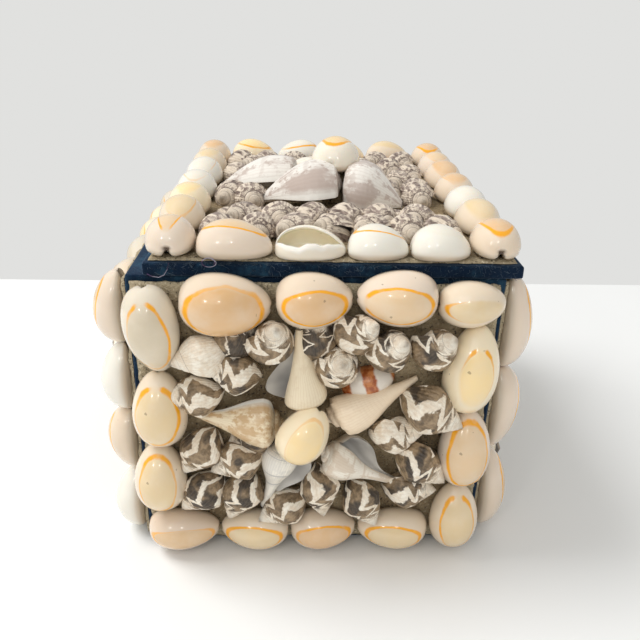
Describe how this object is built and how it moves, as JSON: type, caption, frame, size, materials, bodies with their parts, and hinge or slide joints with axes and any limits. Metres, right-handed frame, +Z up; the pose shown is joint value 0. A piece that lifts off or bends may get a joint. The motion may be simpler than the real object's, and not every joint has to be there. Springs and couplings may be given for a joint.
{
  "type": "shell box",
  "caption": "Small open box with a flat lift-off lid, covered in velvet and decorated all over with cowries, whelks and small striped sea shells set in putty.",
  "frame": {"origin": "centre of the box body's underside, on the surface that it stands on", "axes": "+Z up, out of the lid; -Y out of the short front face with the flower of shells; +X to the right seen from the front"},
  "size_m": [0.1176, 0.1493, 0.1066],
  "materials": {
    "velvet": "navy velvet over board, short pile, frayed at the edges",
    "putty": "tan gritty putty holding small brown and white striped shells",
    "cowrie": "natural cowrie, porcelain gloss, cream to peach with an orange ring",
    "long_shell": "natural whelk shell, satin, cream with tan and grey bands"
  },
  "bodies": {
    "root": {"back_bed": "putty", "box_body": "velvet", "front_bed": "putty", "front_cowrie_bottom_1": "cowrie", "front_cowrie_bottom_2": "cowrie", "front_cowrie_bottom_3": "cowrie", "front_cowrie_bottom_4": "cowrie", "front_cowrie_left_1": "cowrie", "front_cowrie_left_2": "cowrie", "front_cowrie_left_3": "cowrie", "front_cowrie_right_1": "cowrie", "front_cowrie_right_2": "cowrie", "front_cowrie_right_3": "cowrie", "front_cowrie_top_1": "cowrie", "front_cowrie_top_2": "cowrie", "front_cowrie_top_3": "cowrie", "front_cowrie_top_4": "cowrie", "front_flower_cowrie": "cowrie", "front_petal_1": "long_shell", "front_petal_2": "long_shell", "front_petal_3": "long_shell", "front_petal_4": "long_shell", "front_petal_5": "long_shell", "left_bed": "putty", "lid_bed": "putty", "lid_board": "velvet", "lid_cowrie_back_1": "cowrie", "lid_cowrie_back_2": "cowrie", "lid_cowrie_back_3": "cowrie", "lid_cowrie_back_4": "cowrie", "lid_cowrie_front_1": "cowrie", "lid_cowrie_front_2": "cowrie", "lid_cowrie_front_3": "cowrie", "lid_cowrie_front_4": "cowrie", "lid_cowrie_left_1": "cowrie", "lid_cowrie_left_2": "cowrie", "lid_cowrie_left_3": "cowrie", "lid_cowrie_left_4": "cowrie", "lid_cowrie_left_5": "cowrie", "lid_cowrie_left_6": "cowrie", "lid_cowrie_left_7": "cowrie", "lid_cowrie_right_1": "cowrie", "lid_cowrie_right_2": "cowrie", "lid_cowrie_right_3": "cowrie", "lid_cowrie_right_4": "cowrie", "lid_cowrie_right_5": "cowrie", "lid_cowrie_right_6": "cowrie", "lid_cowrie_right_7": "cowrie", "lid_flower_cowrie": "cowrie", "lid_petal_1": "long_shell", "lid_petal_2": "long_shell", "lid_petal_3": "long_shell", "lid_petal_4": "long_shell", "lid_petal_5": "long_shell", "right_bed": "putty"}
  },
  "joints": []
}
